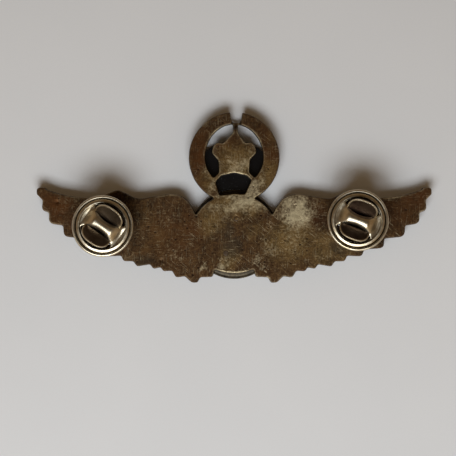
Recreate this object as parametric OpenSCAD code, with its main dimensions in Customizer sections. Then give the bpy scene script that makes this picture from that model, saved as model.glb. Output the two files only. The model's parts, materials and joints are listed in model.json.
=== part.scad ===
// Pilot wings pin, lying on its face: +Z is the back of the badge, where the two
// butterfly clutches grip their posts. The origin is on the surface it lies on,
// under the middle of its outline. Millimetres.

/* [Badge] */
// Wing tip to wing tip
span = 76.2; // [74:0.1:78]
// Height of the flat back above the surface
back_z = 3.2; // [3:0.1:3.6]
// Thickness of the struck plate without its relief
plate_t = 2; // [1.6:0.1:2.2]
// Radius of the shoulder disc behind the medallion
shoulder_r = 8.7; // [8.5:0.1:8.8]
// Centre of the shoulder disc, along Y
shoulder_y = -7.9; // [-8:0.1:-7.8]

/* [Wreath and star] */
// Outer radius of the wreath
wreath_r = 8.8; // [8.6:0.1:8.8]
// Centre of the wreath, along Y
wreath_y = 7.7; // [7.6:0.05:7.7]
// Half width of the opening inside the wreath
opening_a = 5.55; // [5.3:0.05:5.7]
// Half height of the upper half of that opening
opening_top = 6.4; // [6.2:0.1:6.5]
// Half height of the lower half of that opening
opening_low = 5.4; // [5.2:0.1:5.6]
// Sideways offset of the notch between the wreath's two ends
notch_x = 0.4; // [0:0.1:0.5]

/* [Medallion] */
// Radius of the medallion applied to the front: its edge shows beside the shoulder disc
medal_r = 8.6; // [8.5:0.05:8.65]
// Centre of the medallion, along Y
medal_y = -7.1; // [-7.15:0.05:-7.05]
// Width of its flat rim
medal_rim = 0.9; // [0.7:0.1:1.2]
// Depth of its field below the rim
medal_field = 0.5; // [0.3:0.1:0.6]
// Points of its compass rose
rose_points = 8; // [8:4:16]

/* [Posts] */
// Radius of a post
post_r = 0.6; // [0.55:0.05:0.65]
// Height of a post above the back
post_h = 6.6; // [6.4:0.1:6.6]
// Radius of the post's head, let into the back
head_r = 1.5; // [1.3:0.1:1.7]
// Left post, along X and Y
left_post_at = [-24.8, -5.5];
// Right post, along X and Y
right_post_at = [23.3, -4.4];

/* [Clutches] */
// Gap between the back and a clutch, where the cloth goes
cloth_gap = 3.6; // [3.4:0.1:3.8]
// Outer radius of a clutch
clutch_r = 5.8; // [5.7:0.05:5.9]
// Thickness of the sheet metal
sheet = 0.28; // [0.24:0.02:0.3]
// Turn of the left clutch about its post
left_turn = -35; // [-90:1:90]
// Turn of the right clutch about its post
right_turn = -21; // [-90:1:90]
// Lean of an ear away from upright
ear_lean = 45; // [30:1:46]
// Height of an ear along its own slope
ear_h = 3.3; // [2.8:0.1:3.5]
// Half width of an ear at its root
ear_w = 2.9; // [2.5:0.1:3.2]

/* [Hidden] */
$fn = 64;

nominal_span = 76.2;
front_z = back_z - plate_t;
clutch_z = back_z + cloth_gap;
arc_steps = 5;

// Colours: dark old brass, and nickel with a warm reflection
brass = [0.33, 0.25, 0.17];
old_bronze = [0.35, 0.34, 0.27];
solder_grey = [0.55, 0.54, 0.5];
nickel = [0.78, 0.74, 0.64];

// Larger than the wreath or the shoulder disc: for shapes that only cut
beyond = 20;

// Lower edge of the plate under the medallion
hem_r = 9.8;
hem_y = -4.8;
hem_half = 4.4;

// Feather tips and notches of the right wing from the middle outwards: [x, y, radius]
feathers = [
    [3.2, -10, 0], [3.7, -13.9, 0.1], [4.1, -15.35, 0.5], [6.5, -15.4, 0.25],
    [7.05, -16.45, 0.4], [8.2, -16.45, 0.7], [9.5, -15.2, 0.2],
    [11.25, -15.5, 0.7], [12, -14.15, 0.2], [13.65, -14.25, 0.5], [14.2, -13.5, 0.15],
    [15.6, -13.8, 0.45], [16.2, -12.9, 0.15], [18.75, -13.35, 0.5], [19.4, -12.35, 0.15],
    [21.4, -12.3, 0.6], [21.8, -11.25, 0.15], [24.6, -11.4, 0.7], [25.1, -10.05, 0.15],
    [28.9, -9.75, 0.85], [28.95, -7.95, 0.15], [32.85, -7.55, 1], [33, -5.45, 0.2],
    [35.75, -5, 1], [35.75, -2.9, 0.2], [37.15, -2.5, 0.85], [36.95, -0.55, 0.2],
    [38.1, 0.6, 0.5], [38.1, 2.02, 0.65], [36.5, 2.02, 0.4]
];

// Leading edge of the right wing from the tip back to the notch beside the shoulder disc
leading_edge = [
    [36.1, 1.55], [33.2, 0.65], [29.6, 0.05], [26.4, 0], [24.6, 0.7], [22.5, 1.46], [20.6, 0.75],
    [18.5, -0.15], [15.6, 0.22], [12.2, 0.7], [9.7, 0.1], [8.25, -1.5], [7.35, -3.25]
];

// Front relief: the coverts, and the shorter feathers over them
coverts = [
    [7, -11.4, 0], [13, -11, 1], [18, -9.6, 1], [23, -7.6, 1], [28, -5.2, 1], [32.5, -2.4, 1],
    [34.8, 0.2, 0.8], [30, -0.8, 4], [26, -0.9, 2], [22.5, 0.6, 1.2], [18.5, -1, 2],
    [12.2, 0, 3], [9, -1, 1], [7, -4, 0]
];
scapulars = [
    [7, -9.2, 0], [12, -8.2, 1], [17.5, -6.2, 1], [22.4, -3.2, 1], [22.6, -0.8, 0.8],
    [18, -2, 2], [12.4, -0.9, 2], [9.4, -2, 1], [7, -4.6, 0]
];
covert_z = 0.55;
scapular_z = 0.25;

// Star: right half from its neck down to its lower edge
neck_x = 0.25;
neck_top = 14.4;
star_right = [
    [0.5 + neck_x, neck_top, 0], [0.5 + neck_x, 12.5, 1.2], [2.15, 10.5, 0.5],
    [3.7, 10.75, 1], [4.5, 8.7, 0.9], [3.1, 7.3, 0.6], [2.95, 4.7, 0.3], [2.4, 4.2, 0.2]
];
star_left = [
    [-2.4, 4.2, 0.2], [-2.95, 4.7, 0.3], [-3.1, 7.1, 0.6], [-4.5, 8.7, 0.9],
    [-3.7, 10.75, 1], [-2.15, 10.5, 0.5], [-0.5 + neck_x, 12.5, 1.2], [-0.5 + neck_x, neck_top, 0]
];
star_peak = [0, 4.7, 0.15];
star_front_z = 0.45;

// Opening between the star and the shoulder disc, right side and left side
gate = [
    [3.2, 3.2, 0.2], [2.4, 4.2, 0.2], [0, 4.7, 0.1], [-2.4, 4.2, 0.2], [-3.5, 3.05, 0.2],
    [-2.8, 0.45, 0.15], [0, 0.78, 2], [2.05, 0.68, 0.2]
];
leg_w = 0.88;
leg_middle = [3.3, 3.9];
leg_len = 2.4;

// Ground that closes the wreath's opening from the front, except for its upper part
ground_at = [0, 2.6];
ground_r = 8.4;
ground_z = [0.7, 1.25];
ground_inset = 0.8;

// Notch between the wreath's ends
notch_floor = 14.55;
notch_end = 18;
notch_top_half = 1.35;
notch_low_half = 0.85;

// Raised band of the wreath's front
band_mid_r = wreath_r - 1.7;
band_r = 1.05;

// Gap between the plate's front and the medallion's edge
medal_gap = 0.1;

// Compass rose in the medallion's field
rose_r = 5.8;
rose_short = 0.66;
rose_waist = 2;
rose_z = 0.2;
hub_r = 1.3;
hub_z = 0.05;

// Rivets that hold the medallion: small marks on the back
rivet_r = 0.5;
rivet_z = medal_field + 0.3;
upper_rivet_at = [0.4, -4.1];
lower_rivet_at = [-1.6, -10.7];

// Post: its head sits in a shallow socket, and the jaws close at its high groove
socket_r = head_r + 0.1;
head_t = 0.4;
collar_r = post_r + 0.25;
collar_h = 0.7;
low_groove = [3, 3.6];
high_groove = [4.55, 5.15];
groove_depth = 0.2;
groove_slope = 0.1;
tip_h = 0.6;
tip_r = 0.15;

// Clutch heights, above its own underside
wall_r = clutch_r - 0.1;
curl_r = 0.3;
curl_z = 2.35;
bore_gap = 0.05;
boss_h = 0.75;
skirt_r = 5.1;
bead_r = 0.27;
bead_z = 2.5;
dish_z = 1.6;
window_r = 4.2;
window_v = 1.05;
window_bow_r = 5.5;
ridge_r = 1.1;
ridge_z = 2.3;
ridge_half = 3;
ear_v = 1.45;
ear_z = 2.3;
jaw_half = 1.5;
jaw_v = post_r + 0.06;
jaw_z = 1.1;
wire_r = 0.18;
wire_v = 2.1;
wire_z = 1.3;
wire_half = 2.6;

// ---- outlines ----

function unit(v) = v / norm(v);
function flat(p) = [p.x, p.y];
function joined(lists) = [for (l = lists) each l];

// Points of the arc that rounds corner b between a and c
function corner(a, b, c) =
    let (
        u = unit(flat(a) - flat(b)),
        v = unit(flat(c) - flat(b)),
        half = acos(u * v) / 2,
        middle = flat(b) + unit(u + v) * b.z / sin(half),
        from = flat(b) + u * b.z / tan(half) - middle,
        to = flat(b) + v * b.z / tan(half) - middle,
        start = atan2(from.y, from.x),
        turn = atan2(from.x * to.y - from.y * to.x, from * to)
    )
    b.z == 0 ? [flat(b)] :
    [for (i = [0:arc_steps]) middle
        + b.z * [cos(start + turn * i / arc_steps), sin(start + turn * i / arc_steps)]];

// Closed outline through [x, y, radius] corners
function rounded(p) =
    let (n = len(p))
    joined([for (i = [0:n - 1]) corner(p[(i + n - 1) % n], p[i], p[(i + 1) % n])]);

// Smooth curve through points, four steps between each two
function bend(a, b, c, d, t) =
    0.5 * (2 * b + (c - a) * t + (2 * a - 5 * b + 4 * c - d) * t * t
    + (3 * b - a - 3 * c + d) * t * t * t);
function smooth(p) =
    let (n = len(p) - 1)
    [for (i = [0:n - 1], k = [0:3])
        bend(p[max(i - 1, 0)], p[i], p[i + 1], p[min(i + 2, n)], k / 4), p[n]];

function wing_outline() =
    let (tips = rounded(concat(feathers, [[6, -6, 0]])))
    concat([for (i = [0:len(tips) - 2]) tips[i]], smooth(leading_edge), [[6, -6]])
    * span / nominal_span;

function oval(a, top, low) =
    [for (t = [0:6:354]) [a * cos(t), (t < 180 ? top : low) * sin(t)]];

module both_sides() {
    children();
    mirror([1, 0, 0]) children();
}

module slab(z0, z1) {
    translate([0, 0, z0]) linear_extrude(z1 - z0) children();
}

// ---- badge ----

module shoulder_and_hem() {
    intersection() {
        translate([0, shoulder_y]) circle(shoulder_r);
        translate([-beyond / 2, shoulder_y - 1]) square(beyond);
    }
    intersection() {
        translate([0, hem_y]) circle(hem_r);
        translate([-hem_half, hem_y - beyond]) square([2 * hem_half, beyond]);
    }
}

module wreath_openings() {
    translate([0, wreath_y]) polygon(oval(opening_a, opening_top, opening_low));
    polygon(rounded(gate));
    polygon(rounded([
        [notch_x - notch_top_half, notch_end, 0], [notch_x - notch_low_half, notch_floor, 0.5],
        [notch_x + notch_low_half, notch_floor, 0.5], [notch_x + notch_top_half, notch_end, 0]
    ]));
}

module star_outline() {
    polygon(rounded(concat(star_right, [star_peak], star_left)));
}

module star_legs() {
    both_sides() translate(leg_middle) rotate(-45) square([leg_len, leg_w], center = true);
}

module wreath_ground() {
    slab(ground_z[0], ground_z[1]) difference() {
        intersection() {
            translate(ground_at) circle(ground_r);
            translate([0, wreath_y]) circle(wreath_r - ground_inset);
        }
        translate([0, medal_y]) circle(medal_r + medal_gap);
    }
}

module wreath_band() {
    rotate_extrude() translate([band_mid_r, 0]) circle(band_r);
}

module front_relief() {
    both_sides() slab(covert_z, front_z) polygon(rounded(coverts));
    both_sides() slab(scapular_z, covert_z) polygon(rounded(scapulars));
    slab(star_front_z, front_z) star_outline();
    intersection() {
        translate([0, wreath_y, front_z]) wreath_band();
        slab(0, front_z) translate([-beyond / 2, -1]) square(beyond);
    }
}

module wing_plate() {
    color(brass) difference() {
        union() {
            difference() {
                union() {
                    slab(front_z, back_z) both_sides() polygon(wing_outline());
                    slab(front_z, back_z) shoulder_and_hem();
                    translate([0, wreath_y, front_z]) cylinder(h = plate_t, r = wreath_r);
                    front_relief();
                }
                slab(-1, back_z + 1) wreath_openings();
            }
            slab(star_front_z, back_z) star_outline();
            slab(front_z, back_z) star_legs();
            wreath_ground();
        }
        translate([0, medal_y, -1]) cylinder(h = front_z + 1, r = medal_r + medal_gap);
        for (at = [left_post_at, right_post_at])
            translate([at.x, at.y, back_z - head_t]) cylinder(h = head_t + 1, r = socket_r);
        for (at = [upper_rivet_at, lower_rivet_at])
            translate([at.x, at.y, 0]) cylinder(h = back_z + 1, r = rivet_r);
    }
}

module rose() {
    polygon([for (i = [0:2 * rose_points - 1])
        (i % 2 == 1 ? rose_waist : i % 4 == 0 ? rose_r : rose_short * rose_r)
        * [cos(i * 180 / rose_points), sin(i * 180 / rose_points)]]);
}

module medallion() {
    color(old_bronze) difference() {
        union() {
            translate([0, medal_y, 0]) difference() {
                cylinder(h = front_z, r = medal_r);
                translate([0, 0, -1]) cylinder(h = 1 + medal_field, r = medal_r - medal_rim);
            }
            translate([0, medal_y, rose_z]) linear_extrude(medal_field) rose();
            translate([0, medal_y, hub_z]) cylinder(h = medal_field, r = hub_r);
        }
        for (at = [upper_rivet_at, lower_rivet_at])
            translate([at.x, at.y, rivet_z]) cylinder(h = plate_t, r = rivet_r);
    }
}

module rivet(at) {
    color(old_bronze) translate([at.x, at.y, rivet_z])
        cylinder(h = back_z - rivet_z, r = rivet_r);
}

module upper_rivet() { rivet(upper_rivet_at); }
module lower_rivet() { rivet(lower_rivet_at); }

module post(at) {
    color(nickel) translate([at.x, at.y, back_z]) difference() {
        union() {
            translate([0, 0, -head_t]) cylinder(h = head_t, r = head_r);
            cylinder(h = collar_h, r = collar_r);
            cylinder(h = post_h - tip_h, r = post_r);
            translate([0, 0, post_h - tip_h]) cylinder(h = tip_h, r1 = post_r, r2 = tip_r);
        }
        for (g = [low_groove, high_groove]) rotate_extrude() polygon([
            [post_r + 1, g[0]], [post_r, g[0]], [post_r - groove_depth, g[0] + groove_slope],
            [post_r - groove_depth, g[1] - groove_slope], [post_r, g[1]], [post_r + 1, g[1]]
        ]);
    }
}

module left_post() { post(left_post_at); }
module right_post() { post(right_post_at); }

module solder(at) {
    color(solder_grey) translate([at.x, at.y, back_z]) rotate_extrude() polygon([
        [head_r, -head_t], [socket_r, -head_t], [socket_r, 0], [1.25, 0.16],
        [1, 0.4], [collar_r, collar_h], [collar_r, 0], [head_r, 0]
    ]);
}

module left_solder() { solder(left_post_at); }
module right_solder() { solder(right_post_at); }

// ---- clutch: its own frame has the post along Z and the ridge along X ----

module place(at, turn) {
    translate([at.x, at.y, clutch_z]) rotate(turn) children();
}

module cup() {
    color(nickel) {
        rotate_extrude() union() {
            polygon(rounded([
                [post_r + bore_gap, 0, 0], [wall_r, 0, 0.8], [wall_r, curl_z, 0],
                [wall_r - sheet, curl_z, 0], [wall_r - sheet, sheet, 0.52],
                [1.05, sheet, 0.2], [0.9, boss_h, 0], [post_r + bore_gap, boss_h, 0]
            ]));
            translate([clutch_r - curl_r, curl_z]) circle(curl_r);
        }
    }
}

module capsule_2d(half, r) {
    square([2 * half, 2 * r], center = true);
    for (s = [-1, 1]) translate([s * half, 0]) circle(r);
}

module ridge_form(r) {
    slab(dish_z, ridge_z) capsule_2d(ridge_half, r);
    intersection() {
        union() {
            translate([-ridge_half, 0, ridge_z]) rotate([0, 90, 0]) cylinder(h = 2 * ridge_half, r = r);
            for (s = [-1, 1]) translate([s * ridge_half, 0, ridge_z]) sphere(r);
        }
        translate([-6, -3, ridge_z]) cube([12, 6, 3]);
    }
}

module window() {
    slab(dish_z - 0.3, bead_z) intersection() {
        circle(window_r);
        translate([0, window_v + window_bow_r]) circle(window_bow_r);
    }
}

module cap() {
    color(nickel) difference() {
        union() {
            difference() {
                rotate_extrude() union() {
                    polygon([
                        [skirt_r - sheet, 1.05], [skirt_r, 1.05], [skirt_r, 1.6], [skirt_r + 0.24, 1.64],
                        [skirt_r + 0.24, 1.84], [skirt_r, 1.9], [skirt_r, bead_z],
                        [skirt_r - 0.2, bead_z + 0.1], [4.3, dish_z + 0.36], [3.5, dish_z + sheet],
                        [0, dish_z + sheet], [0, dish_z], [3.5, dish_z], [4.45, dish_z + 0.1],
                        [skirt_r - sheet, dish_z + 0.4]
                    ]);
                    translate([skirt_r - bead_r, bead_z]) circle(bead_r);
                }
                window();
                mirror([0, 1, 0]) window();
            }
            ridge_form(ridge_r);
        }
        translate([0, 0, -0.01]) ridge_form(ridge_r - sheet + 0.03);
    }
}

// Ear leaning away from the ridge, with the web and jaw that hang from its root
module ear() {
    color(nickel) union() {
        translate([0, ear_v, ear_z]) rotate([-ear_lean, 0, 0]) translate([0, sheet / 2, 0])
            rotate([90, 0, 0]) linear_extrude(sheet) polygon(rounded([
                [-ear_w, -0.1, 0.1], [ear_w, -0.1, 0.1],
                [ear_w, ear_h * 0.35, 1.1], [ear_w * 0.62, ear_h, 1.5],
                [-ear_w * 0.62, ear_h, 1.5], [-ear_w, ear_h * 0.35, 1.1]
            ]));
        translate([-jaw_half, ear_v - sheet / 2, jaw_z])
            cube([2 * jaw_half, sheet, ear_z - jaw_z + 0.1]);
        translate([-jaw_half, jaw_v, jaw_z]) cube([2 * jaw_half, ear_v + sheet / 2 - jaw_v, sheet]);
    }
}

module spring() {
    color(solder_grey) translate([0, 0, wire_z]) union() {
        for (s = [-1, 1]) {
            translate([-wire_half, s * wire_v, 0]) rotate([0, 90, 0])
                cylinder(h = 2 * wire_half, r = wire_r);
            translate([s * wire_half, 0, 0]) rotate(-90 * s) rotate_extrude(angle = 180)
                translate([wire_v, 0]) circle(wire_r);
        }
    }
}

module left_cup() { place(left_post_at, 0) cup(); }
module left_cap() { place(left_post_at, left_turn) cap(); }
module left_ear_a() { place(left_post_at, left_turn) ear(); }
module left_ear_b() { place(left_post_at, left_turn + 180) ear(); }
module left_spring() { place(left_post_at, left_turn) spring(); }
module right_cup() { place(right_post_at, 0) cup(); }
module right_cap() { place(right_post_at, right_turn) cap(); }
module right_ear_a() { place(right_post_at, right_turn) ear(); }
module right_ear_b() { place(right_post_at, right_turn + 180) ear(); }
module right_spring() { place(right_post_at, right_turn) spring(); }

wing_plate();
medallion();
upper_rivet();
lower_rivet();
left_post();
right_post();
left_solder();
right_solder();
left_cup();
left_cap();
left_ear_a();
left_ear_b();
left_spring();
right_cup();
right_cap();
right_ear_a();
right_ear_b();
right_spring();
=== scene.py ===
import json
import math

import bpy
import numpy as np
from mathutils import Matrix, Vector, kdtree
from mathutils.geometry import delaunay_2d_cdt


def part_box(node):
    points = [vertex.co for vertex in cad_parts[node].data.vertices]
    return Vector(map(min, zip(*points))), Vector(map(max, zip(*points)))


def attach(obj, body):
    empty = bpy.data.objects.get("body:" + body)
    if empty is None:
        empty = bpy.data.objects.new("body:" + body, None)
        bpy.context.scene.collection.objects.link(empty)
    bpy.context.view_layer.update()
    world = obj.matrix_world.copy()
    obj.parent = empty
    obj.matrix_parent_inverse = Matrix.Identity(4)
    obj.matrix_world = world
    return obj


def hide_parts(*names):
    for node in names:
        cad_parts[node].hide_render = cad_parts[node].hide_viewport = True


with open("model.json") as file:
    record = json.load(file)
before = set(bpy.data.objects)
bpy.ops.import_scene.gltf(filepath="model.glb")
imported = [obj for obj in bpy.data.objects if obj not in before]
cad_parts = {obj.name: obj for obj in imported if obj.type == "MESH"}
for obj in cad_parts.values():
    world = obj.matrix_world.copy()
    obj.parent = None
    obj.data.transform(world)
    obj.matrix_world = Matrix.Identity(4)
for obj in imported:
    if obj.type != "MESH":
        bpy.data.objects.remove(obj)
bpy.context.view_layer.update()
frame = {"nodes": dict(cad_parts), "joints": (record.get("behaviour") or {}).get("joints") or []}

MM = 0.001
TAU = 2 * math.pi


# ---- places and sizes from the frame, in millimetres ----

def box_mm(node):
    low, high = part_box(node)
    return np.array(low) / MM, np.array(high) / MM


def middle(node):
    low, high = box_mm(node)
    return (low + high) / 2


BACK_Z = box_mm("wing_plate")[1][2]
MEDAL_LOW, MEDAL_HIGH = box_mm("medallion")
MEDAL_AT = middle("medallion")
MEDAL_R = (MEDAL_HIGH[0] - MEDAL_LOW[0]) / 2
MEDAL_GAP = 0.12
# The level from which the relief of the plate's front is measured
FRONT_Z = MEDAL_HIGH[2]
# The wreath's ring, which touches the plate's upper end
WREATH_MID_R = 7.15
WREATH_HALF = 1.65
WREATH_OUTER_R = WREATH_MID_R + WREATH_HALF
WREATH_HOLE_R = WREATH_MID_R - WREATH_HALF
WREATH_Y = box_mm("wing_plate")[1][1] - WREATH_OUTER_R
SIDES = ("left", "right")
RIVETS = ("upper", "lower")


# ---- smooth noise ----

NOISE_CELLS = 64


def noise(x, y, size, seed):
    """Smooth noise between 0 and 1, with bumps of about this size."""
    table = np.random.default_rng(seed).random((NOISE_CELLS, NOISE_CELLS))
    cell_x, cell_y = np.floor(x / size).astype(int), np.floor(y / size).astype(int)
    fx, fy = x / size - cell_x, y / size - cell_y
    fx, fy = fx * fx * (3 - 2 * fx), fy * fy * (3 - 2 * fy)

    def at(i, j):
        return table[(cell_x + i) % NOISE_CELLS, (cell_y + j) % NOISE_CELLS]

    low = at(0, 0) * (1 - fx) + at(1, 0) * fx
    high = at(0, 1) * (1 - fx) + at(1, 1) * fx
    return low * (1 - fy) + high * fy


def smoothstep(value, low, high):
    t = np.clip((value - low) / (high - low), 0, 1)
    return t * t * (3 - 2 * t)


# ---- meshes ----

def make_piece(name, points, faces, body, material, node):
    """A mesh piece from points in millimetres, riding on its body in place of its CAD node."""
    mesh = bpy.data.meshes.new(name)
    mesh.from_pydata((np.asarray(points, float) * MM).tolist(), [], faces)
    mesh.validate()
    mesh.shade_smooth()
    obj = bpy.data.objects.new(name, mesh)
    bpy.context.scene.collection.objects.link(obj)
    mesh.materials.append(material)
    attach(obj, body)
    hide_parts(node)
    return obj


def store(obj, name, values):
    attribute = obj.data.attributes.new(name, "FLOAT", "POINT")
    attribute.data.foreach_set("value", np.asarray(values, np.float32))


def revolve(profile, steps, closed=False):
    """Points and faces of a profile of (r, z) turned round the Z axis. r = 0 closes a pole."""
    points, rings = [], []
    for r, z in profile:
        if r == 0:
            rings.append([len(points)])
            points.append((0, 0, z))
            continue
        rings.append(list(range(len(points), len(points) + steps)))
        points += [(r * math.cos(TAU * i / steps), r * math.sin(TAU * i / steps), z)
                   for i in range(steps)]
    faces = []
    pairs = list(zip(rings, rings[1:])) + ([(rings[-1], rings[0])] if closed else [])
    for a, b in pairs:
        for i in range(steps):
            k = (i + 1) % steps
            if len(a) == 1:
                faces.append((a[0], b[k], b[i]))
            elif len(b) == 1:
                faces.append((a[i], a[k], b[0]))
            else:
                faces.append((a[i], a[k], b[k], b[i]))
    return np.array(points, float), faces


def arc(centre, radius, start, end, steps):
    """Points of an arc in a profile, angles in degrees."""
    return [(centre[0] + radius * math.cos(math.radians(start + (end - start) * i / steps)),
             centre[1] + radius * math.sin(math.radians(start + (end - start) * i / steps)))
            for i in range(steps + 1)]


# ---- filled outlines ----

# Openings narrower than this, such as rivet holes and the posts' sockets, are covered by other pieces
SMALL_OPENING = 4
EDGE_STEP = 0.05
POINTS_AT_ONCE = 2000


def back_loops():
    """Edge loops of the plate's back: the outline, then its openings, without the small ones."""
    mesh = frame["nodes"]["wing_plate"].data
    mesh.calc_loop_triangles()
    places, index = {}, []
    for v in mesh.vertices:
        key = tuple(round(c / MM, 3) for c in v.co)
        index.append(places.setdefault(key, len(places)))
    points = np.array(list(places))
    edges = set()
    for t in mesh.loop_triangles:
        a, b, c = (index[v] for v in t.vertices)
        if t.normal.z > 0.9 and min(points[[a, b, c], 2]) > BACK_Z - 0.01:
            edges |= {(a, b), (b, c), (c, a)}
    after = {a: b for a, b in edges if (b, a) not in edges}
    loops = []
    while after:
        first, at = next(iter(after.items()))
        loop = [first]
        del after[first]
        while at != first:
            loop.append(at)
            at = after.pop(at)
        loops.append(points[loop, :2])
    wanted = [p for p in loops if max(np.ptp(p, axis=0)) > SMALL_OPENING]
    return sorted(wanted, key=lambda p: -np.ptp(p[:, 0]))


def even(loop, step):
    """The closed loop with points this far apart."""
    ends = np.vstack([loop, loop[:1]])
    along = np.concatenate([[0], np.cumsum(np.linalg.norm(np.diff(ends, axis=0), axis=1))])
    at = np.linspace(0, along[-1], max(12, round(along[-1] / step)), endpoint=False)
    return np.stack([np.interp(at, along, ends[:, k]) for k in (0, 1)], 1)


def soften(loop, times):
    for _ in range(times):
        loop = (np.roll(loop, 1, 0) + 2 * loop + np.roll(loop, -1, 0)) / 4
    return loop


def inward(loop):
    """Unit normals to the left of a loop's direction, where the material is."""
    along = np.roll(loop, -1, 0) - np.roll(loop, 1, 0)
    along /= np.linalg.norm(along, axis=1)[:, None]
    return np.stack([-along[:, 1], along[:, 0]], 1)


def inside(points, loops):
    """Even-odd test of points against all loops at once."""
    a = np.vstack(loops)
    b = np.vstack([np.roll(p, -1, 0) for p in loops])
    found = np.zeros(len(points), bool)
    for k in range(0, len(points), POINTS_AT_ONCE):
        x, y = points[k:k + POINTS_AT_ONCE, :, None].transpose(1, 0, 2)
        spans = (a[:, 1] > y) != (b[:, 1] > y)
        rise = np.where(b[:, 1] == a[:, 1], 1, b[:, 1] - a[:, 1])
        cross = a[:, 0] + (y - a[:, 1]) * (b[:, 0] - a[:, 0]) / rise
        found[k:k + POINTS_AT_ONCE] = (spans & (x < cross)).sum(1) % 2 == 1
    return found


def edge_distance(points, loops):
    """Distance of each point to the nearest edge, negative outside."""
    dense = [even(p, EDGE_STEP) for p in loops]
    at, out = np.vstack(dense), np.vstack([inward(p) for p in dense])
    tree = kdtree.KDTree(len(at))
    for i, p in enumerate(at):
        tree.insert((p[0], p[1], 0), i)
    tree.balance()
    result = np.empty(len(points))
    for i, p in enumerate(points):
        _, near, gap = tree.find((p[0], p[1], 0))
        side = (p - at[near]) @ out[near]
        result[i] = gap if side >= 0 else -gap
    return result


def fill(loops, step, rows):
    """Triangles between loops: the loops' points first, then rows beside the edges and an even grid.
    Returns the points, their distance to the edge, the triangles and the number of points on the loops."""
    rim = np.vstack(loops)
    edges, first = [], 0
    for p in loops:
        edges += [(first + i, first + (i + 1) % len(p)) for i in range(len(p))]
        first += len(p)
    kept = []
    for row in rows:
        points = np.vstack([p + inward(p) * row for p in loops])
        kept.append(points[edge_distance(points, loops) > 0.93 * row])
    low, high = rim.min(0), rim.max(0)
    xs = np.arange(low[0], high[0], step)
    ys = np.arange(low[1], high[1], step * 0.866)
    gx, gy = np.meshgrid(xs, ys)
    gx[1::2] += step / 2
    grid = np.stack([gx.ravel(), gy.ravel()], 1)
    kept.append(grid[edge_distance(grid, loops) > rows[-1] + 0.45 * step])
    points = np.vstack([rim] + kept)
    made = delaunay_2d_cdt([Vector(p) for p in points], edges, [], 0, 1e-6)
    out, triangles = np.array([tuple(p) for p in made[0]]), np.array(made[2])
    on_rim = (triangles < len(rim)).all(1)
    keep = np.ones(len(triangles), bool)
    keep[on_rim] = inside(out[triangles[on_rim]].mean(1), loops)
    gap = np.zeros(len(out))
    gap[len(rim):] = np.maximum(edge_distance(out[len(rim):], loops), 0)
    return out, gap, [tuple(t) for t in triangles[keep].tolist()], len(rim)


def wall_faces(starts, loops):
    """Faces between rings of points that each run through all the loops in turn."""
    faces = []
    for upper, lower in zip(starts, starts[1:]):
        first = 0
        for p in loops:
            for i in range(len(p)):
                a, b = first + i, first + (i + 1) % len(p)
                faces.append((upper + a, lower + a, lower + b, upper + b))
            first += len(p)
    return faces


def underside(triangles, count):
    """The same triangles turned over, on points that come this many later."""
    return [(a + count, c + count, b + count) for a, b, c in triangles]


# ---- materials ----

def add_node(tree, kind, inputs=None, **settings):
    """A shader node of this kind, with its settings, then its inputs by name or number."""
    node = tree.nodes.new("ShaderNode" + kind)
    for name, value in settings.items():
        setattr(node, name, value)
    for name, value in (inputs or {}).items():
        connect(tree, node.inputs[name], value)
    return node


def connect(tree, socket, value):
    if isinstance(value, bpy.types.NodeSocket):
        tree.links.new(value, socket)
    elif hasattr(value, "__len__") and len(value) == 3 and len(socket.default_value) == 4:
        socket.default_value = (*value, 1)
    else:
        socket.default_value = value


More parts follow.
